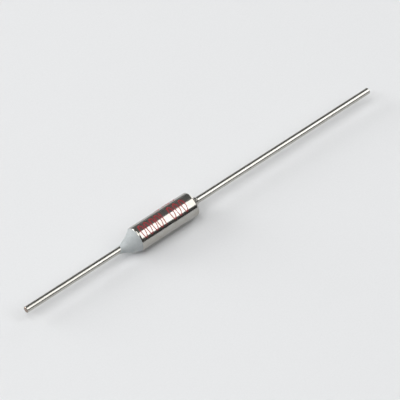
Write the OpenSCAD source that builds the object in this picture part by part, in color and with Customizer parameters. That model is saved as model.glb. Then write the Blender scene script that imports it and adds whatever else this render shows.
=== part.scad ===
// Axial-lead thermal fuse: a drawn brass can with one lead riveted into its closed end and the
// other brought out through a ceramic bushing and a cone of sealing resin. Inside, a solid pellet
// holds a strong spring compressed, and that spring holds a star contact against the isolated lead.
//
// The fuse lies on its can with its axis along X and +Z up. The isolated lead points to -X and the
// case lead to +X. The origin is halfway between the leads' cut ends, below the axis, at the height
// of the can's underside.
// Profiles are drawn with the radius along x and the place along the fuse's axis along y.

/* [Case] */
// Outside diameter of the can
case_d = 4.0; // [3.6:0.1:5.0]
// Length of the can from its closed end to its rolled rim
case_l = 11.0; // [10.0:0.1:13.0]
// Wall of the can around the mechanism
case_wall = 0.3; // [0.25:0.01:0.35]
// Thickness of the can's closed end
case_floor = 0.4; // [0.3:0.05:0.6]
// Outside rounding of the closed end
case_edge_r = 0.4; // [0.2:0.05:0.6]
// Wall of the can around the bushing, and of its rolled rim
mouth_wall = 0.2; // [0.15:0.01:0.22]
// Outside rounding of the rolled rim
roll_r = 0.4; // [0.3:0.05:0.5]

/* [Leads] */
// Diameter of both lead wires
lead_d = 1.0; // [0.8:0.05:1.1]
// Length of the case lead beyond the closed end
case_lead_l = 35.0; // [15:0.5:50]
// Length of the isolated lead beyond the rolled rim
isolated_lead_l = 20.5; // [10:0.5:50]
// Chamfer on the cut ends of both leads
lead_chamfer = 0.08; // [0.02:0.01:0.15]
// How far the case lead's rivet shank, in the closed end, stands out around the wire
shank_w = 0.16; // [0.1:0.01:0.2]
// How far the case lead's flared collar stands out around the wire at its crest
collar_w = 0.14; // [0.1:0.01:0.25]
// How far it stands out where it meets the can
collar_root_w = 0.04; // [0.02:0.01:0.08]
// Length of the flared collar
collar_l = 0.95; // [0.6:0.05:1.2]
// Length over which the collar narrows from its crest back to the wire
collar_nose_l = 0.15; // [0.1:0.05:0.3]
// How far the case lead's rivet head stands out around the wire inside the can
rivet_head_w = 0.7; // [0.4:0.05:0.8]
// Thickness of the rivet head
rivet_head_t = 0.2; // [0.1:0.05:0.4]
// How far the isolated lead's contact head stands out around the wire
contact_head_w = 0.3; // [0.2:0.05:0.35]
// Thickness of the contact head
contact_head_t = 0.45; // [0.3:0.05:0.6]
// Rounding of the contact head's face
contact_edge_r = 0.15; // [0.05:0.05:0.2]
// How far the upset that locks the isolated lead behind the bushing stands out around the wire
upset_w = 0.25; // [0.1:0.05:0.4]
// Thickness of the upset
upset_t = 0.3; // [0.2:0.05:0.5]

/* [Bushing] */
// Length of the bushing's flange, from the case's shoulder to the rolled rim
flange_l = 1.6; // [1.2:0.05:2.0]
// Wall of the bushing's nose around its bore
nose_wall = 0.33; // [0.25:0.01:0.36]
// Length of the bushing's nose
nose_l = 1.1; // [0.8:0.05:1.4]
// Width and depth of the cone that leads the bushing's bore in from the outside
bore_mouth = 0.15; // [0.1:0.05:0.2]

/* [Resin seal] */
// Length of the resin cone beyond the rolled rim
seal_l = 2.75; // [2.3:0.05:4.0]
// How far the resin stays in from the can's outside, where it lies on the rolled rim
seal_inset = 0.2; // [0.1:0.01:0.3]
// Length over which the cone turns in from the rim
seal_shoulder_l = 0.3; // [0.2:0.05:1.2]
// Length over which the cone narrows to the lead
seal_neck_l = 0.8; // [0.6:0.05:1.2]
// How full the cone is over that length, as a thickness around the lead
seal_neck_w = 0.35; // [0.3:0.05:0.8]
// Thickness of the resin where it ends on the lead
seal_tip_w = 0.03; // [0.02:0.01:0.1]

/* [Pellet and discs] */
// Length of the thermal pellet
pellet_l = 2.6; // [2.0:0.1:3.0]
// Chamfer on the pellet's edges
pellet_chamfer = 0.15; // [0.05:0.05:0.3]
// Thickness of the disc between the pellet and the barrel spring
pellet_disc_t = 0.15; // [0.1:0.05:0.3]
// Thickness of the disc between the barrel spring and the star contact
contact_disc_t = 0.15; // [0.1:0.05:0.3]

/* [Star contact] */
// Thickness of the star contact's sheet
star_t = 0.1; // [0.06:0.01:0.14]
// Number of fingers
star_fingers = 10; // [6:1:14]
// Width of the slots between the fingers
star_slot_w = 0.18; // [0.1:0.01:0.25]
// Outside radius of the fingers' curl
star_curl_r = 0.4; // [0.3:0.01:0.42]
// How far the slots reach into the star's flat centre
star_slot_l = 0.12; // [0.05:0.01:0.2]
// Angle through which the fingers curl on past the case wall
star_hook = 18; // [0:1:35]

/* [Springs] */
// Wire of the barrel spring
barrel_wire_d = 0.4; // [0.3:0.01:0.42]
// Number of turns of the barrel spring, with a closed turn at each end
barrel_turns = 6; // [4.5:0.5:6.5]
// Clearance between the barrel spring's widest turn and the case's bore
barrel_gap = 0.24; // [0.15:0.01:0.3]
// Wire of the trip spring
trip_wire_d = 0.16; // [0.12:0.01:0.18]
// Number of turns of the trip spring, with a closed turn at each end
trip_turns = 4.5; // [3.5:0.5:5.5]
// Clearance between the trip spring's widest turn and the case's bore
trip_gap = 0.22; // [0.1:0.01:0.3]

/* [Fits] */
// Clearance between the case's bore and what slides in it
slide_gap = 0.05; // [0.02:0.01:0.08]
// Clearance between the case's bore and the star contact's fingers
finger_gap = 0.01; // [0.005:0.005:0.03]
// Clearance around a lead in its hole
lead_gap = 0.02; // [0.01:0.01:0.05]
// Clearance around the bushing in the can's mouth
bushing_gap = 0.02; // [0.01:0.01:0.04]
// How far the barrel spring's end turn stays in from the edge of the disc that it presses on
disc_margin = 0.01; // [0.0:0.01:0.1]

/* [Hidden] */

// Facets of every round surface
round_fn = 96;
// Facets of a spring's turns, and around its wire
coil_fn = 40;
wire_fn = 14;
// Steps along the resin cone's curve
seal_steps = 16;
// Pitch of a spring's closed turns, in wire diameters
closed_pitch = 1.04;
// Every other half turn of a spring is this much thinner, so the ends of two half turns that meet
// lie one within the other
joint_step = 0.002;
// How far a cutting shape runs past what it cuts
past = 1;

// Radii of the can
case_r = case_d / 2;
bore_r = case_r - case_wall;
mouth_r = case_r - mouth_wall;
lip_r = case_r - roll_r;
mouth_edge_r = roll_r - mouth_wall;

// Radii of what is in it
lead_r = lead_d / 2;
lead_hole_r = lead_r + lead_gap;
shank_r = lead_r + shank_w;
nose_r = lead_hole_r + nose_wall;
star_flat_r = bore_r - finger_gap - star_curl_r;
barrel_end_r = star_flat_r - disc_margin - barrel_wire_d / 2;
barrel_middle_r = bore_r - barrel_gap - barrel_wire_d / 2;
trip_small_r = (nose_r + star_flat_r) / 2;
trip_large_r = bore_r - trip_gap - trip_wire_d / 2;

// The leads' cut ends, and the two ends of the can between them
overall_l = isolated_lead_l + case_l + case_lead_l;
x_isolated_cut = -overall_l / 2;
x_rim = x_isolated_cut + isolated_lead_l;
x_end = x_rim + case_l;
x_case_cut = x_end + case_lead_l;

// Places along the axis, from the closed end inwards
x_floor = x_end - case_floor;
x_pellet = x_floor - rivet_head_t;
x_pellet_disc = x_pellet - pellet_l;
x_barrel_end = x_pellet_disc - pellet_disc_t;

// Places along the axis, from the rolled rim inwards
x_flange = x_rim + mouth_wall;
x_seat = x_flange + flange_l;
x_nose = x_seat + nose_l;
x_contact = x_nose + contact_head_t;
x_contact_disc = x_contact + star_t;
x_barrel_start = x_contact_disc + contact_disc_t;

// Where the resin ends on the lead, and on the rolled rim's rounding
x_seal_tip = x_rim - seal_l;
seal_base_r = case_r - seal_inset;
x_seal_base = x_rim + roll_r - sqrt(pow(roll_r, 2) - pow(seal_base_r - lip_r, 2));

// Stands what is drawn along +Z from the origin on the fuse's axis, with +Z turned to +X
module on_axis() {
    translate([0, 0, case_r]) rotate([0, 90, 0]) children();
}

// Turns a profile about the fuse's axis
module spin() {
    on_axis() rotate_extrude($fn = round_fn) children();
}

// A band of a profile from radius r0 to r1 and from place x0 to x1
module band(r0, r1, x0, x1) {
    translate([r0, x0]) square([r1 - r0, x1 - x0]);
}

// A quarter disc of radius r about the origin, on the side of +y if way is 1 and -y if it is -1
module quarter(r, way) {
    intersection() {
        circle(r, $fn = round_fn);
        translate([0, way > 0 ? 0 : -r]) square(r);
    }
}

// The profile of a bar of radius r from place x0 to x1, with its ends' edges rounded by edge0 and
// edge1
module bar(r, x0, x1, edge0 = 0, edge1 = 0) {
    band(0, r, x0 + edge0, x1 - edge1);
    if (edge0 > 0) {
        band(0, r - edge0, x0, x0 + edge0);
        translate([r - edge0, x0 + edge0]) quarter(edge0, -1);
    }
    if (edge1 > 0) {
        band(0, r - edge1, x1 - edge1, x1);
        translate([r - edge1, x1 - edge1]) quarter(edge1, 1);
    }
}

// The profile of a lead's wire from place x0 to x1, with its cut end at x_cut chamfered
module wire(x0, x1, x_cut) {
    difference() {
        band(0, lead_r, x0, x1);
        translate([lead_r, x_cut]) rotate(45) square(lead_chamfer * sqrt(2), center = true);
    }
}

module case() {
    color([0.80, 0.80, 0.78]) spin() difference() {
        bar(case_r, x_rim, x_end, roll_r, case_edge_r);
        band(-past, bore_r, x_seat, x_floor);
        bar(mouth_r, x_flange, x_seat, mouth_edge_r);
        band(-past, lip_r, x_rim - past, x_flange + mouth_edge_r);
        band(-past, shank_r + lead_gap, x_floor, x_end + past);
    }
}

module case_lead() {
    color([0.82, 0.82, 0.80]) spin() {
        wire(x_pellet, x_case_cut, x_case_cut);
        bar(lead_r + rivet_head_w, x_pellet, x_floor);
        bar(shank_r, x_floor, x_end);
        polygon([
            [0, x_end],
            [lead_r + collar_root_w, x_end],
            [lead_r + collar_w, x_end + collar_l - collar_nose_l],
            [lead_r, x_end + collar_l],
            [0, x_end + collar_l]
        ]);
    }
}

module thermal_pellet() {
    r = bore_r - slide_gap;
    color([0.90, 0.86, 0.70]) spin() polygon([
        [0, x_pellet_disc],
        [r - pellet_chamfer, x_pellet_disc],
        [r, x_pellet_disc + pellet_chamfer],
        [r, x_pellet - pellet_chamfer],
        [r - pellet_chamfer, x_pellet],
        [0, x_pellet]
    ]);
}

module pellet_disc() {
    color([0.80, 0.62, 0.35]) spin() bar(bore_r - slide_gap, x_barrel_end, x_pellet_disc);
}

module contact_disc() {
    color([0.80, 0.62, 0.35]) spin() bar(star_flat_r, x_contact_disc, x_barrel_start);
}

// A flat centre whose edge curls back towards the bushing, cut into fingers that press on the bore
module star_contact() {
    hook_reach = star_curl_r * 2;
    color([0.88, 0.88, 0.86]) difference() {
        spin() {
            bar(star_flat_r, x_contact, x_contact_disc);
            translate([star_flat_r, x_contact_disc - star_curl_r]) intersection() {
                difference() {
                    circle(star_curl_r, $fn = round_fn);
                    circle(star_curl_r - star_t, $fn = round_fn);
                }
                polygon([
                    [0, 0],
                    [hook_reach, -hook_reach * tan(star_hook)],
                    [hook_reach, hook_reach],
                    [0, hook_reach]
                ]);
            }
        }
        on_axis() for (i = [0 : star_fingers - 1])
            rotate([0, 0, i * 360 / star_fingers])
                translate([star_flat_r - star_slot_l, -star_slot_w / 2, x_contact_disc - hook_reach])
                    cube([case_r, star_slot_w, hook_reach + past]);
    }
}

// How far the wire's centre is from the spring's start after t turns: a closed turn at each end
// and open turns between them
function coil_reach(t, turns, l, wire_d) =
    let (closed = closed_pitch * wire_d)
    t < 1 ? closed * t
    : t > turns - 1 ? l - closed * (turns - t)
    : closed + (l - 2 * closed) * (t - 1) / (turns - 2);

// The radius of the coil after the part u of its turns. mean_r holds the mean radii at its start,
// middle and end.
function coil_r(u, mean_r) =
    let (
        ends_r = mean_r[0] + (mean_r[2] - mean_r[0]) * u,
        belly_r = mean_r[1] - (mean_r[0] + mean_r[2]) / 2
    )
    ends_r + belly_r * sin(180 * u);

// Half a turn of wire from place y0 at radius r0 to place y1 at radius r1 on the opposite side.
// It is half of a ring that is tilted about the line square to its ends, so each half turn runs on
// smoothly from the last.
module half_turn(r0, r1, y0, y1, wire_d) {
    ring_r = norm([r0 + r1, y1 - y0]) / 2;
    tilt = atan2(y1 - y0, r0 + r1);
    translate([(r0 - r1) / 2, 0, (y0 + y1) / 2])
        rotate([0, tilt, 0])
            rotate_extrude(angle = 180, $fn = coil_fn)
                translate([ring_r, 0]) circle(wire_d / 2, $fn = wire_fn);
}

// A compression spring from x_start to x_start + l, with its end turns ground flat to the planes
// that it presses on
module coil_spring(x_start, l, wire_d, turns, mean_r) {
    halves = turns * 2;
    on_axis() translate([0, 0, x_start]) difference() {
        for (i = [0 : halves - 1])
            rotate([0, 0, 180 * i])
                half_turn(
                    coil_r(i / halves, mean_r),
                    coil_r((i + 1) / halves, mean_r),
                    coil_reach(i / 2, turns, l, wire_d),
                    coil_reach((i + 1) / 2, turns, l, wire_d),
                    wire_d - i % 2 * joint_step
                );
        translate([0, 0, -past]) cylinder(h = past, r = case_r);
        translate([0, 0, l]) cylinder(h = past, r = case_r);
    }
}

module barrel_spring() {
    color([0.55, 0.56, 0.58]) coil_spring(x_barrel_start, x_barrel_end - x_barrel_start,
        barrel_wire_d, barrel_turns, [barrel_end_r, barrel_middle_r, barrel_end_r]);
}

module trip_spring() {
    color([0.62, 0.63, 0.65]) coil_spring(x_seat, x_contact - x_seat,
        trip_wire_d, trip_turns, [trip_large_r, (trip_large_r + trip_small_r) / 2, trip_small_r]);
}

module ceramic_bushing() {
    color([0.94, 0.93, 0.90]) spin() difference() {
        union() {
            bar(mouth_r - bushing_gap, x_flange, x_seat, mouth_edge_r);
            bar(nose_r, x_seat, x_nose);
        }
        band(-past, lead_hole_r, x_flange - past, x_nose + past);
        polygon([
            [0, x_flange - past],
            [lead_hole_r + bore_mouth + past, x_flange - past],
            [lead_hole_r, x_flange + bore_mouth],
            [0, x_flange + bore_mouth]
        ]);
    }
}

module isolated_lead() {
    color([0.82, 0.82, 0.80]) spin() {
        wire(x_isolated_cut, x_contact, x_isolated_cut);
        bar(lead_r + upset_w, x_flange - upset_t, x_flange);
        bar(lead_r + contact_head_w, x_nose, x_contact, 0, contact_edge_r);
    }
}

// A point of the cubic curve through the controls c, at t from 0 to 1
function curve_point(c, t) =
    pow(1 - t, 3) * c[0] + 3 * t * pow(1 - t, 2) * c[1] + 3 * pow(t, 2) * (1 - t) * c[2]
    + pow(t, 3) * c[3];

// The cone beyond the rolled rim, and the plug inside it that runs back to the bushing
module epoxy_seal() {
    controls = [
        [lead_r + seal_tip_w, x_seal_tip],
        [lead_r + seal_neck_w, x_seal_tip + seal_neck_l],
        [seal_base_r, x_rim - seal_shoulder_l],
        [seal_base_r, x_seal_base]
    ];
    cone = [for (i = [0 : seal_steps]) curve_point(controls, i / seal_steps)];
    color([0.70, 0.72, 0.72]) spin() difference() {
        polygon(concat([[0, x_seal_tip]], cone, [
            [lip_r, x_rim + roll_r],
            [lip_r, x_flange],
            [0, x_flange]
        ]));
        translate([lip_r, x_rim + roll_r]) quarter(roll_r, -1);
        band(-past, lead_r, x_seal_tip - past, x_flange + past);
        band(-past, lead_r + upset_w, x_flange - upset_t, x_flange + past);
    }
}

case();
case_lead();
thermal_pellet();
pellet_disc();
barrel_spring();
contact_disc();
star_contact();
trip_spring();
ceramic_bushing();
isolated_lead();
epoxy_seal();
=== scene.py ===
"""Dresses an axial-lead thermal fuse: a plated brass can with red ink marks, a cone of grey sealing
resin, two tinned copper leads and the trip mechanism inside the can."""

import math

import bmesh
import bpy
import numpy as np
from bpy.props import FloatProperty, FloatVectorProperty, PointerProperty
from bpy.types import Operator, Panel, PropertyGroup
from mathutils import Matrix, Vector, noise


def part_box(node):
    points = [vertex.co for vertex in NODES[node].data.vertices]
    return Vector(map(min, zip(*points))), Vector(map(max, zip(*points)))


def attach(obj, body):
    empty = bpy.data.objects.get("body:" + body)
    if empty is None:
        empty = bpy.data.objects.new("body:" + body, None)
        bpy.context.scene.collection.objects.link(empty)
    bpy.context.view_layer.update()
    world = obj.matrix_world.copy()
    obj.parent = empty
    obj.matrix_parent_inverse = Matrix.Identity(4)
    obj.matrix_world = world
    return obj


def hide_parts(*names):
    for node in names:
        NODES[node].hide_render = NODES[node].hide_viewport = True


bl_info = {
    "name": "Thermal Fuse",
    "version": (1, 0, 0),
    "blender": (4, 5, 0),
    "location": "View3D > Sidebar > Thermal Fuse",
    "description": "Builds the visible pieces and finishes of an axial-lead thermal fuse",
    "category": "Object",
}

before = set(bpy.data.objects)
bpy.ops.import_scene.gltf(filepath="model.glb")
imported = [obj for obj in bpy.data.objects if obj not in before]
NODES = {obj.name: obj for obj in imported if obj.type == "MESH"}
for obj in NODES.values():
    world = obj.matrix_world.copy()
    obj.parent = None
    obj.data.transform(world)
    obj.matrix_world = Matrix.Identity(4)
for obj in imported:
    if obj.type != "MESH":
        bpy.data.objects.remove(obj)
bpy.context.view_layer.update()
MM = 0.001

# The can's place, taken from its solid. Its radius is the true one, because the facets of the
# frame's mesh fall a little short of it. Every turned piece shares the can's axis
CAN_LOW, CAN_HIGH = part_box("case")
X_RIM, X_END = CAN_LOW.x / MM, CAN_HIGH.x / MM
CAN_R = 2.0
AXIS_Z = CAN_LOW.z + CAN_R * MM
X_ISOLATED_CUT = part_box("isolated_lead")[0].x / MM
X_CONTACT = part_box("isolated_lead")[1].x / MM
X_RIVET_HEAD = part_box("case_lead")[0].x / MM
X_CASE_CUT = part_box("case_lead")[1].x / MM
X_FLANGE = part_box("ceramic_bushing")[0].x / MM
X_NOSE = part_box("ceramic_bushing")[1].x / MM
X_SEAL_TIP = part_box("epoxy_seal")[0].x / MM

# Sizes in mm that the solids have and their boxes don't tell: the can's walls
CAN_BORE_R = 1.7
CAN_MOUTH_R = 1.8
CAN_FLOOR = 0.4
X_SEAT = X_FLANGE + 1.6

# The leads, with the case lead's rivet shank, head and collar
SHANK_R = 0.66
SHANK_HOLE_R = 0.68
COLLAR_ROOT_R = 0.54
COLLAR_R = 0.64
COLLAR_L = 0.95
COLLAR_NOSE_L = 0.15
RIVET_HEAD_R = 1.2
CONTACT_HEAD_R = 0.8
CONTACT_EDGE = 0.15
UPSET_R = 0.75
UPSET_L = 0.3
CUT_CHAMFER = 0.08

# The resin's cone, with the handles of its outline's curve
SEAL_BASE_R = 1.8
SEAL_TIP_R = 0.53
SEAL_TIP_HANDLE_L = 0.8
SEAL_TIP_HANDLE_R = 0.35
SEAL_BASE_HANDLE_L = 0.3

# The ink lies this thick on the can, whose skin is drawn as much in, so the ink ends at true size
INK_T = 0.004

# Radii nearer than this, in mm, are the same
NEAR = 1e-6


def linear(hex_colour):
    """An sRGB hex colour as linear red, green, blue and alpha."""
    parts = [int(hex_colour[i : i + 2], 16) / 255 for i in (1, 3, 5)]
    straight = [c / 12.92 if c <= 0.04045 else ((c + 0.055) / 1.055) ** 2.4 for c in parts]
    return (*straight, 1.0)


# ---------------------------------------------------------------- sizes and colours


class FuseSizes(PropertyGroup):
    """Sizes of the outside that a user would change."""

    lead_diameter: FloatProperty(
        name="Lead diameter",
        description="Diameter of both tinned copper wires",
        default=0.001,
        min=0.0006,
        max=0.0014,
        precision=5,
        unit="LENGTH",
    )
    rim_radius: FloatProperty(
        name="Rolled rim",
        description="Outside rounding of the can's rim, which is rolled in over the bushing",
        default=0.0004,
        min=0.0002,
        max=0.0005,
        precision=5,
        unit="LENGTH",
    )
    end_radius: FloatProperty(
        name="Closed end's edge",
        description="Outside rounding of the can's closed end",
        default=0.0004,
        min=0.0002,
        max=0.0006,
        precision=5,
        unit="LENGTH",
    )
    resin_slump: FloatProperty(
        name="Resin slump",
        description="How far the cured resin strays from a true cone",
        default=0.00018,
        min=0.0,
        max=0.00025,
        precision=6,
        unit="LENGTH",
    )
    stroke_width: FloatProperty(
        name="Ink stroke",
        description="Width of the strokes that the marks are printed with",
        default=0.0002,
        min=0.0001,
        max=0.0005,
        precision=5,
        unit="LENGTH",
    )


class FuseColours(PropertyGroup):
    """Colours of the outside that a user would change."""

    can: FloatVectorProperty(
        name="Can",
        description="Plating of the can",
        subtype="COLOR",
        size=4,
        min=0,
        max=1,
        default=linear("#b7b5b0"),
    )
    lead: FloatVectorProperty(
        name="Leads",
        description="Tin on the copper wire",
        subtype="COLOR",
        size=4,
        min=0,
        max=1,
        default=linear("#bfbdb7"),
    )
    resin: FloatVectorProperty(
        name="Resin",
        description="Cured sealing resin",
        subtype="COLOR",
        size=4,
        min=0,
        max=1,
        default=linear("#b1b6b7"),
    )
    ink: FloatVectorProperty(
        name="Ink",
        description="Marking ink on the can",
        subtype="COLOR",
        size=4,
        min=0,
        max=1,
        default=linear("#d8323f"),
    )
    floor: FloatVectorProperty(
        name="Floor",
        description="Matt sheet that the fuse lies on",
        subtype="COLOR",
        size=4,
        min=0,
        max=1,
        default=linear("#e4e5e6"),
    )


# ---------------------------------------------------------------- materials


def add_node(tree, kind, settings=None, links=None):
    """Adds a node with its settings, unlinked sockets and links, and returns it."""
    node = tree.nodes.new(kind)
    for key, value in (settings or {}).items():
        if isinstance(key, str) and hasattr(node, key):
            setattr(node, key, value)
        else:
            node.inputs[key].default_value = value
    for key, source in (links or {}).items():
        tree.links.new(source, node.inputs[key])
    return node


def start_material(name, surface):
    """A material with a Principled shader, whose uniform values are set on its own sockets."""
    material = bpy.data.materials.new(name)
    material.use_nodes = True
    tree = material.node_tree
    tree.nodes.clear()
    shader = add_node(tree, "ShaderNodeBsdfPrincipled", surface)
    add_node(tree, "ShaderNodeOutputMaterial", links={"Surface": shader.outputs["BSDF"]})
    return material, tree, shader


def polished_plating(colour):
    """Drawn brass, barrel-polished and plated: mirror-like and slightly wavy, with faint draw lines
    along the can and a haze from handling."""
    material, tree, shader = start_material("polished_plated_brass", {"Metallic": 1.0})
    place = add_node(tree, "ShaderNodeTexCoord").outputs["Object"]
    # Draw lines 0.05 mm apart round the can, 20 to the mm, and 2 mm long
    stretched = add_node(
        tree, "ShaderNodeMapping", {"Scale": (0.5 / MM, 20 / MM, 20 / MM)}, {"Vector": place}
    ).outputs["Vector"]
    lines = add_node(
        tree,
        "ShaderNodeTexNoise",
        {"Scale": 1.0, "Detail": 3.0, "Roughness": 0.6},
        {"Vector": stretched},
    ).outputs["Fac"]
    # Handling haze in patches about 1.4 mm across, 0.7 to the mm
    haze = add_node(
        tree,
        "ShaderNodeTexNoise",
        {"Scale": 0.7 / MM, "Detail": 4.0, "Roughness": 0.55},
        {"Vector": place},
    ).outputs["Fac"]
    tint = add_node(
        tree,
        "ShaderNodeMix",
        {"data_type": "RGBA", 6: colour, 7: linear("#aaa498")},
        {
            0: add_node(
                tree,
                "ShaderNodeMapRange",
                {"From Min": 0.45, "From Max": 0.75, "To Max": 0.7},
                {"Value": haze},
            ).outputs["Result"]
        },
    )
    tree.links.new(tint.outputs[2], shader.inputs["Base Color"])
    rough = add_node(
        tree,
        "ShaderNodeMapRange",
        {"From Min": 0.3, "From Max": 0.7, "To Min": 0.10, "To Max": 0.20},
        {"Value": haze},
    )
    tree.links.new(rough.outputs["Result"], shader.inputs["Roughness"])
    # Drawing and tumbling leave the thin wall slightly wavy, in waves about 2 mm long
    waves = add_node(
        tree, "ShaderNodeTexNoise", {"Scale": 0.48 / MM, "Detail": 1.0}, {"Vector": place}
    ).outputs["Fac"]
    wavy = add_node(
        tree, "ShaderNodeBump", {"Strength": 0.6, "Distance": 0.07 * MM}, {"Height": waves}
    ).outputs["Normal"]
    bump = add_node(
        tree,
        "ShaderNodeBump",
        {"Strength": 0.12, "Distance": 0.004 * MM},
        {"Height": lines, "Normal": wavy},
    )
    tree.links.new(bump.outputs["Normal"], shader.inputs["Normal"])
    return material


def tinned_copper(colour):
    """Drawn copper wire with hot-dipped tin: bright, faintly streaked along the wire, with dulled
    copper bare where it was sheared off."""
    material, tree, shader = start_material("tinned_copper_wire", {"Metallic": 1.0})
    place = add_node(tree, "ShaderNodeTexCoord").outputs["Object"]
    # Die lines are 0.02 mm apart and too fine to show, so they are drawn 0.15 mm apart, 6.6 to the
    # mm, and 3 mm long
    stretched = add_node(
        tree, "ShaderNodeMapping", {"Scale": (0.33 / MM, 6.6 / MM, 6.6 / MM)}, {"Vector": place}
    ).outputs["Vector"]
    streaks = add_node(
        tree,
        "ShaderNodeTexNoise",
        {"Scale": 1.0, "Detail": 3.0, "Roughness": 0.6},
        {"Vector": stretched},
    ).outputs["Fac"]
    # The tin's thickness wanders over about 3 mm
    swell = add_node(
        tree, "ShaderNodeTexNoise", {"Scale": 0.33 / MM, "Detail": 2.0}, {"Vector": place}
    ).outputs["Fac"]
    along = add_node(tree, "ShaderNodeSeparateXYZ", links={"Vector": place}).outputs["X"]
    # Both cuts lie as far from the middle. Copper starts to show 0.09 mm before them and is bare
    # from 0.03 mm on
    reach = add_node(tree, "ShaderNodeMath", {"operation": "ABSOLUTE"}, {0: along}).outputs["Value"]
    bare = add_node(
        tree,
        "ShaderNodeMapRange",
        {"From Min": (X_CASE_CUT - 0.09) * MM, "From Max": (X_CASE_CUT - 0.03) * MM},
        {"Value": reach},
    ).outputs["Result"]
    grey = add_node(
        tree,
        "ShaderNodeMix",
        {"data_type": "RGBA", 6: colour, 7: linear("#a8a59d")},
        {
            0: add_node(
                tree,
                "ShaderNodeMapRange",
                {"From Min": 0.5, "From Max": 0.8},
                {"Value": streaks},
            ).outputs["Result"]
        },
    ).outputs[2]
    cut = add_node(
        tree, "ShaderNodeMix", {"data_type": "RGBA", 7: linear("#9c8a7e")}, {0: bare, 6: grey}
    )
    tree.links.new(cut.outputs[2], shader.inputs["Base Color"])
    rough = add_node(
        tree,
        "ShaderNodeMapRange",
        {"From Min": 0.3, "From Max": 0.7, "To Min": 0.16, "To Max": 0.28},
        {"Value": swell},
    )
    tree.links.new(rough.outputs["Result"], shader.inputs["Roughness"])
    height = add_node(
        tree, "ShaderNodeMath", {"operation": "MULTIPLY_ADD", 1: 3.0}, {0: swell, 2: streaks}
    )
    bump = add_node(
        tree,
        "ShaderNodeBump",
        {"Strength": 0.15, "Distance": 0.006 * MM},
        {"Height": height.outputs["Value"]},
    )
    tree.links.new(bump.outputs["Normal"], shader.inputs["Normal"])
    return material


def cast_resin(colour):
    """Mineral-filled epoxy, dropped on and oven-cured: matt grey with fine filler specks, a soft
    skin gloss and small pits where bubbles broke."""
    material, tree, shader = start_material(
        "cast_filled_epoxy", {"IOR": 1.53, "Coat Weight": 0.15, "Coat Roughness": 0.35}
    )
    place = add_node(tree, "ShaderNodeTexCoord").outputs["Object"]
    # Filler grains about 0.06 mm across, 16 to the mm
    grains = add_node(
        tree, "ShaderNodeTexNoise", {"Scale": 16 / MM, "Detail": 2.0}, {"Vector": place}
    ).outputs["Fac"]
    # Settled filler in clouds about 1.1 mm across
    clouds = add_node(
        tree, "ShaderNodeTexNoise", {"Scale": 0.9 / MM, "Detail": 3.0}, {"Vector": place}
    ).outputs["Fac"]
    # Pits about 0.3 mm apart
    pits = add_node(
        tree,
        "ShaderNodeTexVoronoi",
        {"feature": "F1", "Scale": 3.5 / MM, "Randomness": 1.0},
        {"Vector": place},
    ).outputs["Distance"]
    base = add_node(
        tree,
        "ShaderNodeMix",
        {"data_type": "RGBA", 6: colour, 7: linear("#9aa0a1")},
        {
            0: add_node(
                tree,
                "ShaderNodeMapRange",
                {"From Min": 0.42, "From Max": 0.72, "To Max": 0.6},
                {"Value": clouds},
            ).outputs["Result"]
        },
    ).outputs[2]
    specked = add_node(
        tree,
        "ShaderNodeMix",
        {"data_type": "RGBA", 7: linear("#cacfd0")},
        {
            0: add_node(
                tree,
                "ShaderNodeMapRange",
                {"From Min": 0.56, "From Max": 0.74, "To Max": 0.5},
                {"Value": grains},
            ).outputs["Result"],
            6: base,
        },
    )
    tree.links.new(specked.outputs[2], shader.inputs["Base Color"])
    rough = add_node(
        tree,
        "ShaderNodeMapRange",
        {"From Min": 0.3, "From Max": 0.7, "To Min": 0.48, "To Max": 0.62},
        {"Value": clouds},
    )
    tree.links.new(rough.outputs["Result"], shader.inputs["Roughness"])
    pitted = add_node(
        tree, "ShaderNodeMapRange", {"From Min": 0.0, "From Max": 0.16}, {"Value": pits}
    ).outputs["Result"]
    height = add_node(
        tree, "ShaderNodeMath", {"operation": "MULTIPLY_ADD", 1: 0.35}, {0: grains, 2: pitted}
    )
    bump = add_node(
        tree,
        "ShaderNodeBump",
        {"Strength": 0.35, "Distance": 0.01 * MM},
        {"Height": height.outputs["Value"]},
    )
    tree.links.new(bump.outputs["Normal"], shader.inputs["Normal"])
    return material


def marking_ink(colour):
    """Baked epoxy marking ink, pad-printed: a thin red film that lets the bright plating through,
    with duller spots where the pad lifted."""
    material, tree, shader = start_material("pad_printed_ink", {"IOR": 1.55, "Alpha": 0.5})
    place = add_node(tree, "ShaderNodeTexCoord").outputs["Object"]
    # Coverage wanders in spots about 0.15 mm across, 6.5 to the mm
    cover = add_node(
        tree, "ShaderNodeTexNoise", {"Scale": 6.5 / MM, "Detail": 3.0}, {"Vector": place}
    ).outputs["Fac"]
    film = add_node(
        tree,
        "ShaderNodeMix",
        {"data_type": "RGBA", 6: colour, 7: linear("#a82d35")},
        {
            0: add_node(
                tree,
                "ShaderNodeMapRange",
                {"From Min": 0.5, "From Max": 0.75},
                {"Value": cover},
            ).outputs["Result"]
        },
    )
    tree.links.new(film.outputs[2], shader.inputs["Base Color"])
    rough = add_node(
        tree,
        "ShaderNodeMapRange",
        {"From Min": 0.3, "From Max": 0.7, "To Min": 0.35, "To Max": 0.5},
        {"Value": cover},
    )
    tree.links.new(rough.outputs["Result"], shader.inputs["Roughness"])
    bump = add_node(
        tree, "ShaderNodeBump", {"Strength": 0.2, "Distance": 0.003 * MM}, {"Height": cover}
    )
    tree.links.new(bump.outputs["Normal"], shader.inputs["Normal"])
    return material


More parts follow.
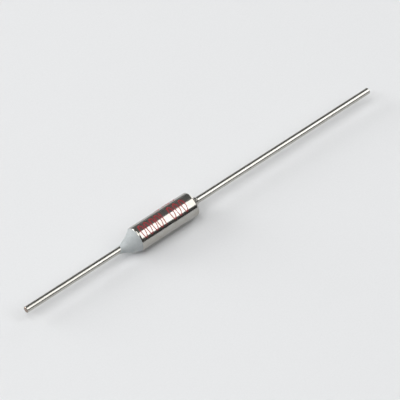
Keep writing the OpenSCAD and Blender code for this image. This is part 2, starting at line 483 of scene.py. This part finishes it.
def fired_steatite():
    """Steatite ceramic, pressed and fired without glaze: chalky off-white with a fine grain."""
    material, tree, shader = start_material("fired_steatite", {"IOR": 1.58, "Roughness": 0.55})
    place = add_node(tree, "ShaderNodeTexCoord").outputs["Object"]
    # Press grain about 0.08 mm across, 12 to the mm
    grain = add_node(
        tree, "ShaderNodeTexNoise", {"Scale": 12 / MM, "Detail": 3.0}, {"Vector": place}
    ).outputs["Fac"]
    chalk = add_node(
        tree,
        "ShaderNodeMix",
        {"data_type": "RGBA", 6: linear("#ebe7dc"), 7: linear("#d8d1c1")},
        {0: grain},
    )
    tree.links.new(chalk.outputs[2], shader.inputs["Base Color"])
    bump = add_node(
        tree, "ShaderNodeBump", {"Strength": 0.3, "Distance": 0.008 * MM}, {"Height": grain}
    )
    tree.links.new(bump.outputs["Normal"], shader.inputs["Normal"])
    return material


def stamped_metal(name, bright, dull, rough_low, rough_high):
    """Thin strip, blanked and plated or left bare: a satin face with rolling lines across it."""
    material, tree, shader = start_material(name, {"Metallic": 1.0})
    place = add_node(tree, "ShaderNodeTexCoord").outputs["Object"]
    # Rolling lines 0.04 mm apart, 25 to the mm, and 0.8 mm long
    stretched = add_node(
        tree, "ShaderNodeMapping", {"Scale": (1.2 / MM, 1.2 / MM, 25 / MM)}, {"Vector": place}
    ).outputs["Vector"]
    lines = add_node(
        tree, "ShaderNodeTexNoise", {"Scale": 1.0, "Detail": 3.0}, {"Vector": stretched}
    ).outputs["Fac"]
    tone = add_node(
        tree,
        "ShaderNodeMix",
        {"data_type": "RGBA", 6: linear(bright), 7: linear(dull)},
        {0: lines},
    )
    tree.links.new(tone.outputs[2], shader.inputs["Base Color"])
    rough = add_node(
        tree,
        "ShaderNodeMapRange",
        {"From Min": 0.3, "From Max": 0.7, "To Min": rough_low, "To Max": rough_high},
        {"Value": lines},
    )
    tree.links.new(rough.outputs["Result"], shader.inputs["Roughness"])
    bump = add_node(
        tree, "ShaderNodeBump", {"Strength": 0.15, "Distance": 0.004 * MM}, {"Height": lines}
    )
    tree.links.new(bump.outputs["Normal"], shader.inputs["Normal"])
    return material


def drawn_spring_steel():
    """Patented steel wire, drawn and coiled cold: dark grey, satin, with die marks."""
    material, tree, shader = start_material("drawn_spring_steel", {"Metallic": 1.0})
    place = add_node(tree, "ShaderNodeTexCoord").outputs["Object"]
    # Die marks and coiling scuffs about 0.06 mm across, 18 to the mm
    scuffs = add_node(
        tree,
        "ShaderNodeTexNoise",
        {"Scale": 18 / MM, "Detail": 4.0, "Roughness": 0.65},
        {"Vector": place},
    ).outputs["Fac"]
    tone = add_node(
        tree,
        "ShaderNodeMix",
        {"data_type": "RGBA", 6: linear("#a3a6a9"), 7: linear("#7e8185")},
        {0: scuffs},
    )
    tree.links.new(tone.outputs[2], shader.inputs["Base Color"])
    rough = add_node(
        tree,
        "ShaderNodeMapRange",
        {"From Min": 0.3, "From Max": 0.7, "To Min": 0.25, "To Max": 0.42},
        {"Value": scuffs},
    )
    tree.links.new(rough.outputs["Result"], shader.inputs["Roughness"])
    return material


def pressed_pellet():
    """Organic powder pressed to a pellet: waxy cream, slightly see-through at its edges."""
    material, tree, shader = start_material(
        "pressed_organic_pellet",
        {
            "IOR": 1.5,
            "Roughness": 0.5,
            "Subsurface Weight": 0.2,
            "Subsurface Radius": (1.0, 0.8, 0.5),
            "Subsurface Scale": 0.2 * MM,
        },
    )
    place = add_node(tree, "ShaderNodeTexCoord").outputs["Object"]
    # Powder grains about 0.11 mm across, 9 to the mm
    grains = add_node(
        tree, "ShaderNodeTexVoronoi", {"feature": "F1", "Scale": 9 / MM}, {"Vector": place}
    ).outputs["Distance"]
    wax = add_node(
        tree,
        "ShaderNodeMix",
        {"data_type": "RGBA", 6: linear("#e9dfbd"), 7: linear("#d6c794")},
        {0: grains},
    )
    tree.links.new(wax.outputs[2], shader.inputs["Base Color"])
    bump = add_node(
        tree, "ShaderNodeBump", {"Strength": 0.25, "Distance": 0.008 * MM}, {"Height": grains}
    )
    tree.links.new(bump.outputs["Normal"], shader.inputs["Normal"])
    return material


def matt_sheet(colour):
    """Matt paper sheet: flat pale tone with a barely visible tooth."""
    material, tree, shader = start_material(
        "matt_paper_sheet", {"Roughness": 0.85, "Specular IOR Level": 0.2}
    )
    place = add_node(tree, "ShaderNodeTexCoord").outputs["Object"]
    # Paper tooth about 0.3 mm across, 3.3 to the mm
    tooth = add_node(
        tree, "ShaderNodeTexNoise", {"Scale": 3.3 / MM, "Detail": 2.0}, {"Vector": place}
    ).outputs["Fac"]
    tone = add_node(
        tree,
        "ShaderNodeMix",
        {"data_type": "RGBA", 6: colour, 7: linear("#dfe0e1")},
        {0: tooth},
    )
    tree.links.new(tone.outputs[2], shader.inputs["Base Color"])
    return material


# ---------------------------------------------------------------- meshes


def arc(centre_x, centre_r, radius, start, end, steps):
    """Points of (place, radius) along an arc from one angle to another, 0 degrees being outwards
    and 90 towards +X."""
    turns = [math.radians(start + (end - start) * i / steps) for i in range(steps + 1)]
    return [(centre_x + radius * math.sin(t), centre_r + radius * math.cos(t)) for t in turns]


def turned(name, outline, facets, stray=None):
    """Turns a closed outline of (place, radius) points in mm about the fuse's axis. stray moves a
    point's place and radius, given both and its angle from +Z towards -Y."""
    mesh_maker = bmesh.new()
    rings = []
    for x, r in outline:
        if r < NEAR:
            rings.append([mesh_maker.verts.new((x * MM, 0, AXIS_Z))])
            continue
        ring = []
        for i in range(facets):
            a = math.tau * i / facets
            xx, rr = stray(x, r, a) if stray else (x, r)
            spot = (xx * MM, -rr * math.sin(a) * MM, AXIS_Z + rr * math.cos(a) * MM)
            ring.append(mesh_maker.verts.new(spot))
        rings.append(ring)
    for one, two in zip(rings, rings[1:] + rings[:1]):
        if len(one) == 1 and len(two) == 1:
            continue
        for i in range(facets):
            j = (i + 1) % facets
            if len(one) == 1:
                mesh_maker.faces.new((one[0], two[i], two[j]))
            elif len(two) == 1:
                mesh_maker.faces.new((one[i], two[0], one[j]))
            else:
                mesh_maker.faces.new((one[i], two[i], two[j], one[j]))
    bmesh.ops.recalc_face_normals(mesh_maker, faces=mesh_maker.faces)
    return finish_mesh(name, mesh_maker, sharp=28)


def finish_mesh(name, mesh_maker, sharp):
    """Puts what was made into an object, smooth but for edges sharper than that many degrees."""
    mesh = bpy.data.meshes.new(name)
    mesh_maker.to_mesh(mesh)
    mesh_maker.free()
    mesh.shade_smooth()
    mesh.set_sharp_from_angle(angle=math.radians(sharp))
    piece = bpy.data.objects.new(name, mesh)
    bpy.context.scene.collection.objects.link(piece)
    return piece


def wire_run(x0, x1, r, step=0.5):
    """Points every half millimetre along a straight wire, so that its facets stay short."""
    count = max(1, round(abs(x1 - x0) / step))
    return [(x0 + (x1 - x0) * i / count, r) for i in range(count + 1)]


def place_piece(piece, material, slot, *nodes):
    """Gives a piece its finish and lets it stand for its solids."""
    piece.data.materials.append(material)
    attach(piece, "root")
    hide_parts(*nodes)


# ---------------------------------------------------------------- ink marks

# Spacing in mm of the grid that the marks are worked out on, and how far it stays off the ends of
# the can
INK_GRID = 0.04
INK_MARGIN = 0.45

# A pad prints with ragged edges, out by this many mm, and leaves a few spots bare. The spots lie
# where a noise of so many ripples to the mm passes a level
INK_RAGGED = 0.03
BARE_SPOTS = 4.5
BARE_LEVEL = 0.45
BARE_DEPTH = 0.6

# Points further outside a stroke than this, in mm, aren't worn
WEAR_REACH = 0.1

# Further in mm than any stroke lies
FAR_AWAY = 1e9


def stroke_distance(x, s, path, closed):
    """Distance in mm from every point to a path of straight strokes."""
    ends = path[1:] + path[:1] if closed else path[1:]
    nearest = np.full(x.shape, FAR_AWAY)
    for (x0, s0), (x1, s1) in zip(path, ends):
        dx, ds = x1 - x0, s1 - s0
        t = np.clip(((x - x0) * dx + (s - s0) * ds) / (dx * dx + ds * ds), 0, 1)
        nearest = np.minimum(nearest, np.hypot(x - x0 - t * dx, s - s0 - t * ds))
    return nearest


def oval(half_w, half_h, steps=28):
    """An oval as a closed path about the origin."""
    return [
        (half_w * math.cos(math.tau * i / steps), half_h * math.sin(math.tau * i / steps))
        for i in range(steps)
    ]


# Plain noughts and ones about the origin, as (path, closed), half a unit wide and high each way
MARKS = {
    "0": (oval(0.5, 0.5), True),
    "1": ([(0, -0.5), (0, 0.5)], False),
}

# Rows of marks: where the row's middle lies round the can, in degrees from +Z towards -Y, the
# height and width of a mark in mm, which worn spots the row gets, and each mark with its place
# from the rim in mm
MARK_ROWS = [
    {
        "middle": 17.4,
        "height": 2.2,
        "width": 0.66,
        "wear": -15,
        "marks": [
            ("0", 1.15),
            ("0", 2.2),
            ("0", 3.25),
            ("0", 4.2),
            ("1", 4.95),
            ("0", 6.65),
            ("0", 7.75),
            ("0", 8.9),
        ],
    },
    {
        "middle": -64.6,
        "height": 2.0,
        "width": 0.6,
        "wear": -97,
        "marks": [("0", 5.5), ("1", 6.5), ("0", 7.4), ("0", 8.4)],
    },
]


def ink_field(row, stroke):
    """The grid of places and arc lengths over a row, and how far inside the ink each point lies."""
    half = row["height"] / 2 + stroke
    xs = np.arange(INK_MARGIN, X_END - X_RIM - INK_MARGIN, INK_GRID)
    ss = np.arange(-half, half, INK_GRID)
    x, s = np.meshgrid(xs, ss, indexing="ij")
    inside = np.full(x.shape, -FAR_AWAY)
    for mark, at in row["marks"]:
        path, closed = MARKS[mark]
        sized = [(at + px * row["width"], ps * row["height"]) for px, ps in path]
        inside = np.maximum(inside, stroke / 2 - stroke_distance(x, s, sized, closed))
    for i, j in np.argwhere(inside > -WEAR_REACH):
        spot = Vector((x[i, j] * BARE_SPOTS, s[i, j] * BARE_SPOTS, row["wear"]))
        inside[i, j] += INK_RAGGED * noise.noise(spot * 2)
        inside[i, j] -= max(0.0, noise.noise(spot) - BARE_LEVEL) * BARE_DEPTH
    return x, s, inside


def ink_row(mesh_maker, row, stroke):
    """Lays one row of marks on the can as a thin skin, outlined where the field crosses zero."""
    x, s, inside = ink_field(row, stroke)
    made = {}

    def corner(key, px, ps):
        if key not in made:
            a = math.radians(row["middle"]) + ps / CAN_R
            made[key] = mesh_maker.verts.new(
                ((X_RIM + px) * MM, -CAN_R * math.sin(a) * MM, AXIS_Z + CAN_R * math.cos(a) * MM)
            )
        return made[key]

    cells = [(0, 0), (1, 0), (1, 1), (0, 1)]
    for i in range(x.shape[0] - 1):
        for j in range(x.shape[1] - 1):
            if inside[i : i + 2, j : j + 2].max() <= 0:
                continue
            loop = []
            for (di, dj), (ei, ej) in zip(cells, cells[1:] + cells[:1]):
                p, q = (i + di, j + dj), (i + ei, j + ej)
                if inside[p] > 0:
                    loop.append(corner((p, p), x[p], s[p]))
                if (inside[p] > 0) != (inside[q] > 0):
                    t = inside[p] / (inside[p] - inside[q])
                    key = (min(p, q), max(p, q))
                    loop.append(corner(key, x[p] + t * (x[q] - x[p]), s[p] + t * (s[q] - s[p])))
            if len(loop) > 2:
                # Downwards along the arc runs towards -Y, so this order faces outwards
                mesh_maker.faces.new(loop[::-1])


def ink_marks(stroke):
    """All rows of marks, closed at their edges down to the can's skin."""
    mesh_maker = bmesh.new()
    for row in MARK_ROWS:
        ink_row(mesh_maker, row, stroke)
    edges = [e for e in mesh_maker.edges if e.is_boundary]
    walls = bmesh.ops.extrude_edge_only(mesh_maker, edges=edges)
    # The edges end half the ink's thickness under the can's skin
    sink = (CAN_R - INK_T * 1.5) / CAN_R
    axis = Vector((0, 0, AXIS_Z))
    for v in (g for g in walls["geom"] if isinstance(g, bmesh.types.BMVert)):
        v.co.y = axis.y + (v.co.y - axis.y) * sink
        v.co.z = axis.z + (v.co.z - axis.z) * sink
    return finish_mesh("ink_marks", mesh_maker, sharp=40)


# ---------------------------------------------------------------- resin

# The resin hung to one side as it cured, in this direction towards -Y and +Z
HANG_Y, HANG_Z = 0.845, -0.536

# The resin creeps out along the lead by this many mm, by this many more on the side where it hangs
# and less on the other, over this part of the cone
CREEP = 0.09
CREEP_HANGING = 0.29
CREEP_PART = 0.25

# Shares of the slump: how far the resin draws in on all sides, how much it gathers round the lead
# and over which part of the cone, and how much it waves
DRAWN_IN = 0.35
GATHERED = 0.5
GATHERED_PART = 0.73
WAVES = 0.25
FINE_WAVES = 0.1


def slumped(slump, lead_r, x_base):
    """Gives the function that moves a point of the true cone to where the resin cured. slump and
    the lead's radius are in mm, and the cone ends at x_base."""

    def ripple(x, a, along_it, round_it):
        """Noise with so many ripples to the mm along the cone, and on a circle so wide round it."""
        return noise.noise(Vector((x * along_it, math.cos(a) * round_it, math.sin(a) * round_it)))

    def stray(x, r, a):
        along = (x - X_SEAL_TIP) / (x_base - X_SEAL_TIP)
        if not 0 <= along < 1 or r > SEAL_BASE_R:
            return x, r
        hang = HANG_Y * math.sin(a) + HANG_Z * math.cos(a)
        x_crept = x - max(0.0, 1 - along / CREEP_PART) * (CREEP + CREEP_HANGING * hang)
        if r <= lead_r + NEAR:
            return x_crept, r
        # Nothing strays at the tip and the base
        fade = math.sin(math.pi * along) ** 0.7
        gathered = GATHERED * math.sin(math.pi * min(1.0, along / GATHERED_PART))
        waves = WAVES * ripple(x, a, 0.9, 1.3) + FINE_WAVES * ripple(x, a, 2.4, 4)
        return x_crept, r + slump * fade * (hang + gathered - DRAWN_IN + waves)

    return stray


# ---------------------------------------------------------------- operators


class FUSE_OT_can(Operator):
    """Turn the plated can with its rolled rim, bore, closed end and hole for the rivet shank"""

    bl_idname = "fuse.can"
    bl_label = "Plated Can"

    def execute(self, context):
        sizes, colours = context.scene.fuse_sizes, context.scene.fuse_colours
        skin_r = CAN_R - INK_T
        roll, edge = sizes.rim_radius / MM, sizes.end_radius / MM
        lip_r = skin_r - roll
        inner_roll = CAN_MOUTH_R - lip_r
        outline = arc(X_RIM + roll, lip_r, roll, -90, 0, steps=14)
        outline += arc(X_END - edge, skin_r - edge, edge, 0, 90, steps=14)
        outline += [
            (X_END, SHANK_HOLE_R),
            (X_END - CAN_FLOOR, SHANK_HOLE_R),
            (X_END - CAN_FLOOR, CAN_BORE_R),
            (X_SEAT, CAN_BORE_R),
            (X_SEAT, CAN_MOUTH_R),
        ]
        outline += arc(X_FLANGE + inner_roll, lip_r, inner_roll, 0, -90, steps=6)
        piece = turned("can", outline, facets=192)
        place_piece(piece, polished_plating(tuple(colours.can)), "case_plating", "case")
        return {"FINISHED"}


class FUSE_OT_leads(Operator):
    """Turn both tinned leads with their cut ends, the riveted collar and the contact head"""

    bl_idname = "fuse.leads"
    bl_label = "Tinned Leads"

    def execute(self, context):
        sizes, colours = context.scene.fuse_sizes, context.scene.fuse_colours
        r = sizes.lead_diameter / 2 / MM
        finish = tinned_copper(tuple(colours.lead))

        x_floor = X_END - CAN_FLOOR
        outline = [(X_RIVET_HEAD, 0), (X_RIVET_HEAD, RIVET_HEAD_R), (x_floor, RIVET_HEAD_R)]
        outline += [(x_floor, SHANK_R), (X_END, SHANK_R), (X_END, COLLAR_ROOT_R)]
        outline += [(X_END + COLLAR_L - COLLAR_NOSE_L, COLLAR_R)]
        outline += wire_run(X_END + COLLAR_L, X_CASE_CUT - CUT_CHAMFER, r)
        outline += [(X_CASE_CUT, r - CUT_CHAMFER), (X_CASE_CUT, 0)]
        piece = turned("case_lead_wire", outline, facets=64)
        place_piece(piece, finish, "lead_wire", "case_lead")

        outline = [(X_ISOLATED_CUT, 0), (X_ISOLATED_CUT, r - CUT_CHAMFER)]
        outline += wire_run(X_ISOLATED_CUT + CUT_CHAMFER, X_FLANGE - UPSET_L, r)
        outline += [(X_FLANGE - UPSET_L, UPSET_R), (X_FLANGE, UPSET_R), (X_FLANGE, r), (X_NOSE, r)]
        outline += [(X_NOSE, CONTACT_HEAD_R)]
        edge = CONTACT_EDGE
        outline += arc(X_CONTACT - edge, CONTACT_HEAD_R - edge, edge, 0, 90, steps=6)
        outline += [(X_CONTACT, 0)]
        piece = turned("isolated_lead_wire", outline, facets=64)
        place_piece(piece, finish, "lead_wire", "isolated_lead")
        return {"FINISHED"}


class FUSE_OT_resin(Operator):
    """Cast the sealing resin over the rim, slightly slumped as it cured"""

    bl_idname = "fuse.resin"
    bl_label = "Sealing Resin"

    def execute(self, context):
        sizes, colours = context.scene.fuse_sizes, context.scene.fuse_colours
        lead_r = sizes.lead_diameter / 2 / MM
        roll = sizes.rim_radius / MM
        lip_r = CAN_R - roll
        # The cone ends on the rim's rounding, at this angle up it
        meets = math.asin((SEAL_BASE_R - lip_r) / roll)
        x_base = X_RIM + roll - roll * math.cos(meets)
        handles = [
            (X_SEAL_TIP, SEAL_TIP_R),
            (X_SEAL_TIP + SEAL_TIP_HANDLE_L, lead_r + SEAL_TIP_HANDLE_R),
            (X_RIM - SEAL_BASE_HANDLE_L, SEAL_BASE_R),
            (x_base, SEAL_BASE_R),
        ]

        def on_curve(t):
            weights = ((1 - t) ** 3, 3 * t * (1 - t) ** 2, 3 * t * t * (1 - t), t**3)
            return tuple(sum(w * h[i] for w, h in zip(weights, handles)) for i in (0, 1))

        steps = 40
        outline = [on_curve(i / steps) for i in range(steps + 1)]
        outline += arc(X_RIM + roll, lip_r, roll, -math.degrees(meets), -90, steps=8)[1:]
        outline += [(X_FLANGE, lip_r), (X_FLANGE, UPSET_R)]
        outline += [(X_FLANGE - UPSET_L, UPSET_R), (X_FLANGE - UPSET_L, lead_r)]
        outline += [(X_SEAL_TIP, lead_r)]
        stray = slumped(sizes.resin_slump / MM, lead_r, x_base)
        piece = turned("resin_cone", outline, facets=160, stray=stray)
        place_piece(piece, cast_resin(tuple(colours.resin)), "seal_resin", "epoxy_seal")
        return {"FINISHED"}


class FUSE_OT_marks(Operator):
    """Print rows of plain noughts and ones on the can in red ink"""

    bl_idname = "fuse.marks"
    bl_label = "Ink Marks"

    def execute(self, context):
        sizes, colours = context.scene.fuse_sizes, context.scene.fuse_colours
        piece = ink_marks(sizes.stroke_width / MM)
        piece.data.materials.append(marking_ink(tuple(colours.ink)))
        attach(piece, "root")
        return {"FINISHED"}


class FUSE_OT_mechanism(Operator):
    """Finish the bushing, contact, springs, discs and pellet inside the can"""

    bl_idname = "fuse.mechanism"
    bl_label = "Trip Mechanism"

    def execute(self, context):
        spring = drawn_spring_steel()
        brass = stamped_metal("blanked_brass", "#d3ae69", "#b98f4a", 0.26, 0.4)
        finishes = {
            "ceramic_bushing": fired_steatite(),
            "star_contact": stamped_metal("silver_plated_copper", "#e6e4de", "#d2cec4", 0.18, 0.3),
            "trip_spring": spring,
            "barrel_spring": spring,
            "contact_disc": brass,
            "pellet_disc": brass,
            "thermal_pellet": pressed_pellet(),
        }
        for name, finish in finishes.items():
            node = NODES[name]
            if not node.material_slots:
                raise RuntimeError(f"{name} has no material slot")
            for slot in node.material_slots:
                slot.material = finish
        return {"FINISHED"}


# The lights. turn is the angle from square to the can towards +X, rise the angle up from the front,
# wide and tall the angles that the light spans, all in degrees. A light of strength 1 is as bright
# as white itself, and the distance is in metres
LIGHTS = [
    # name, turn, rise, wide, tall, strength, distance
    # What the can and the leads mirror, from overhead down to 35 degrees up on the camera's side
    ("front_softbox", 30, 62, 28, 54, 2.4, 1.5),
    # The main light, overhead and turned so that neither the can nor the leads mirror it
    ("top_softbox", -13, 93, 13, 46, 4.4, 1.5),
    # A strip and a card that run on from it to the back, mirrored in the can's rolled rim
    ("left_strip", -46, 120, 15, 80, 4.2, 1.0),
    ("left_card", -30, 159, 22, 28, 6.5, 1.5),
    # A low card at the back on the right, mirrored in the edge of the can's closed end
    ("right_card", 62, 146, 18, 40, 3.6, 1.5),
]


class FUSE_OT_stage(Operator):
    """Lay the matt sheet, hang the lights round it and set the room and the camera"""

    bl_idname = "fuse.stage"
    bl_label = "Stage"

    def execute(self, context):
        scene = context.scene
        self.lay_sheet(scene)
        for light in LIGHTS:
            self.hang_light(scene, *light)
        self.dim_room(scene)
        self.set_camera(scene)
        scene.view_settings.view_transform = "Standard"
        return {"FINISHED"}

    def lay_sheet(self, scene):
        """A matt sheet under the fuse that sweeps up behind it, far enough away to leave every view
        clear. Its sizes are in metres."""
        mesh_maker = bmesh.new()
        half, flat, bend, height, steps = 1.8, 1.8, 0.35, 1.0, 12
        section = [(-half, 0.0), (0.0, 0.0), (flat, 0.0)]
        for i in range(1, steps + 1):
            a = math.radians(90 * i / steps)
            section.append((flat + bend * math.sin(a), bend * (1 - math.cos(a))))
        section.append((flat + bend, height))
        rows = [[mesh_maker.verts.new((x, y, z)) for x in (-half, 0, half)] for y, z in section]
        for low, high in zip(rows, rows[1:]):
            for i in range(2):
                mesh_maker.faces.new((low[i], low[i + 1], high[i + 1], high[i]))
        sheet = finish_mesh("sheet", mesh_maker, sharp=60)
        sheet.data.materials.append(matt_sheet(tuple(scene.fuse_colours.floor)))

    def hang_light(self, scene, name, turn, rise, wide, tall, strength, distance):
        """Hangs a soft light that faces the fuse and that no camera sees."""
        p, q = math.radians(turn), math.radians(rise)
        out = Vector((math.sin(p), -math.cos(p) * math.cos(q), math.cos(p) * math.sin(q)))
        side = Vector((math.cos(p), math.sin(p) * math.cos(q), -math.sin(p) * math.sin(q)))
        light = bpy.data.lights.new(name, "AREA")
        light.shape = "RECTANGLE"
        light.size = 2 * distance * math.tan(math.radians(wide / 2))
        light.size_y = 2 * distance * math.tan(math.radians(tall / 2))
        # In watts, so that the light's own brightness is its strength
        light.energy = strength * math.pi * light.size * light.size_y
        lamp = bpy.data.objects.new(name, light)
        scene.collection.objects.link(lamp)
        lamp.matrix_world = Matrix((side, out.cross(side), out)).transposed().to_4x4()
        lamp.location = out * distance
        lamp.visible_camera = False

    def dim_room(self, scene):
        """A dim grey room, darker low down, where the sheet ends."""
        world = bpy.data.worlds.new("dim_room")
        world.use_nodes = True
        tree = world.node_tree
        tree.nodes.clear()
        up = add_node(
            tree,
            "ShaderNodeSeparateXYZ",
            links={"Vector": add_node(tree, "ShaderNodeTexCoord").outputs["Generated"]},
        ).outputs["Z"]
        rise = add_node(
            tree,
            "ShaderNodeMapRange",
            {"From Min": 0.1, "From Max": 0.55, "To Min": 0.03, "To Max": 0.16},
            {"Value": up},
        ).outputs["Result"]
        sky = add_node(tree, "ShaderNodeBackground", {"Color": (1, 1, 1, 1)}, {"Strength": rise})
        add_node(tree, "ShaderNodeOutputWorld", links={"Surface": sky.outputs["Background"]})
        scene.world = world

    def set_camera(self, scene):
        """A long lens 600 mm away, looking down at the fuse from the front left."""
        azimuth, elevation, distance = math.radians(-39.734), math.radians(50.454), 0.6
        target = Vector((-0.353, -0.256, 2)) * MM
        back = Vector(
            (
                math.sin(azimuth) * math.cos(elevation),
                -math.cos(azimuth) * math.cos(elevation),
                math.sin(elevation),
            )
        )
        data = bpy.data.cameras.new("camera")
        data.sensor_width = 36
        data.lens = 361.75
        data.clip_start = 0.01
        camera = bpy.data.objects.new("camera", data)
        scene.collection.objects.link(camera)
        camera.location = target + back * distance
        camera.rotation_mode = "QUATERNION"
        camera.rotation_quaternion = back.to_track_quat("Z", "Y")
        scene.camera = camera


class VIEW3D_PT_thermal_fuse(Panel):
    """The fuse's pieces, sizes and colours"""

    bl_label = "Thermal Fuse"
    bl_space_type = "VIEW_3D"
    bl_region_type = "UI"
    bl_category = "Thermal Fuse"

    def draw(self, context):
        layout = self.layout
        column = layout.column(align=True)
        for operator in OPERATORS:
            column.operator(operator.bl_idname)
        scene = context.scene
        for title, group in (("Sizes", scene.fuse_sizes), ("Colours", scene.fuse_colours)):
            box = layout.box()
            box.label(text=title)
            for name in group.bl_rna.properties.keys():
                if name not in ("rna_type", "name"):
                    box.prop(group, name)


OPERATORS = [
    FUSE_OT_can,
    FUSE_OT_leads,
    FUSE_OT_resin,
    FUSE_OT_marks,
    FUSE_OT_mechanism,
    FUSE_OT_stage,
]
CLASSES = [FuseSizes, FuseColours, *OPERATORS, VIEW3D_PT_thermal_fuse]


def register():
    for cls in CLASSES:
        bpy.utils.register_class(cls)
    bpy.types.Scene.fuse_sizes = PointerProperty(type=FuseSizes)
    bpy.types.Scene.fuse_colours = PointerProperty(type=FuseColours)


def unregister():
    del bpy.types.Scene.fuse_colours
    del bpy.types.Scene.fuse_sizes
    for cls in reversed(CLASSES):
        bpy.utils.unregister_class(cls)


def main():
    register()
    bpy.ops.fuse.can()
    bpy.ops.fuse.leads()
    bpy.ops.fuse.resin()
    bpy.ops.fuse.marks()
    bpy.ops.fuse.mechanism()
    bpy.ops.fuse.stage()
    bpy.context.view_layer.update()


if __name__ == "__main__":
    main()
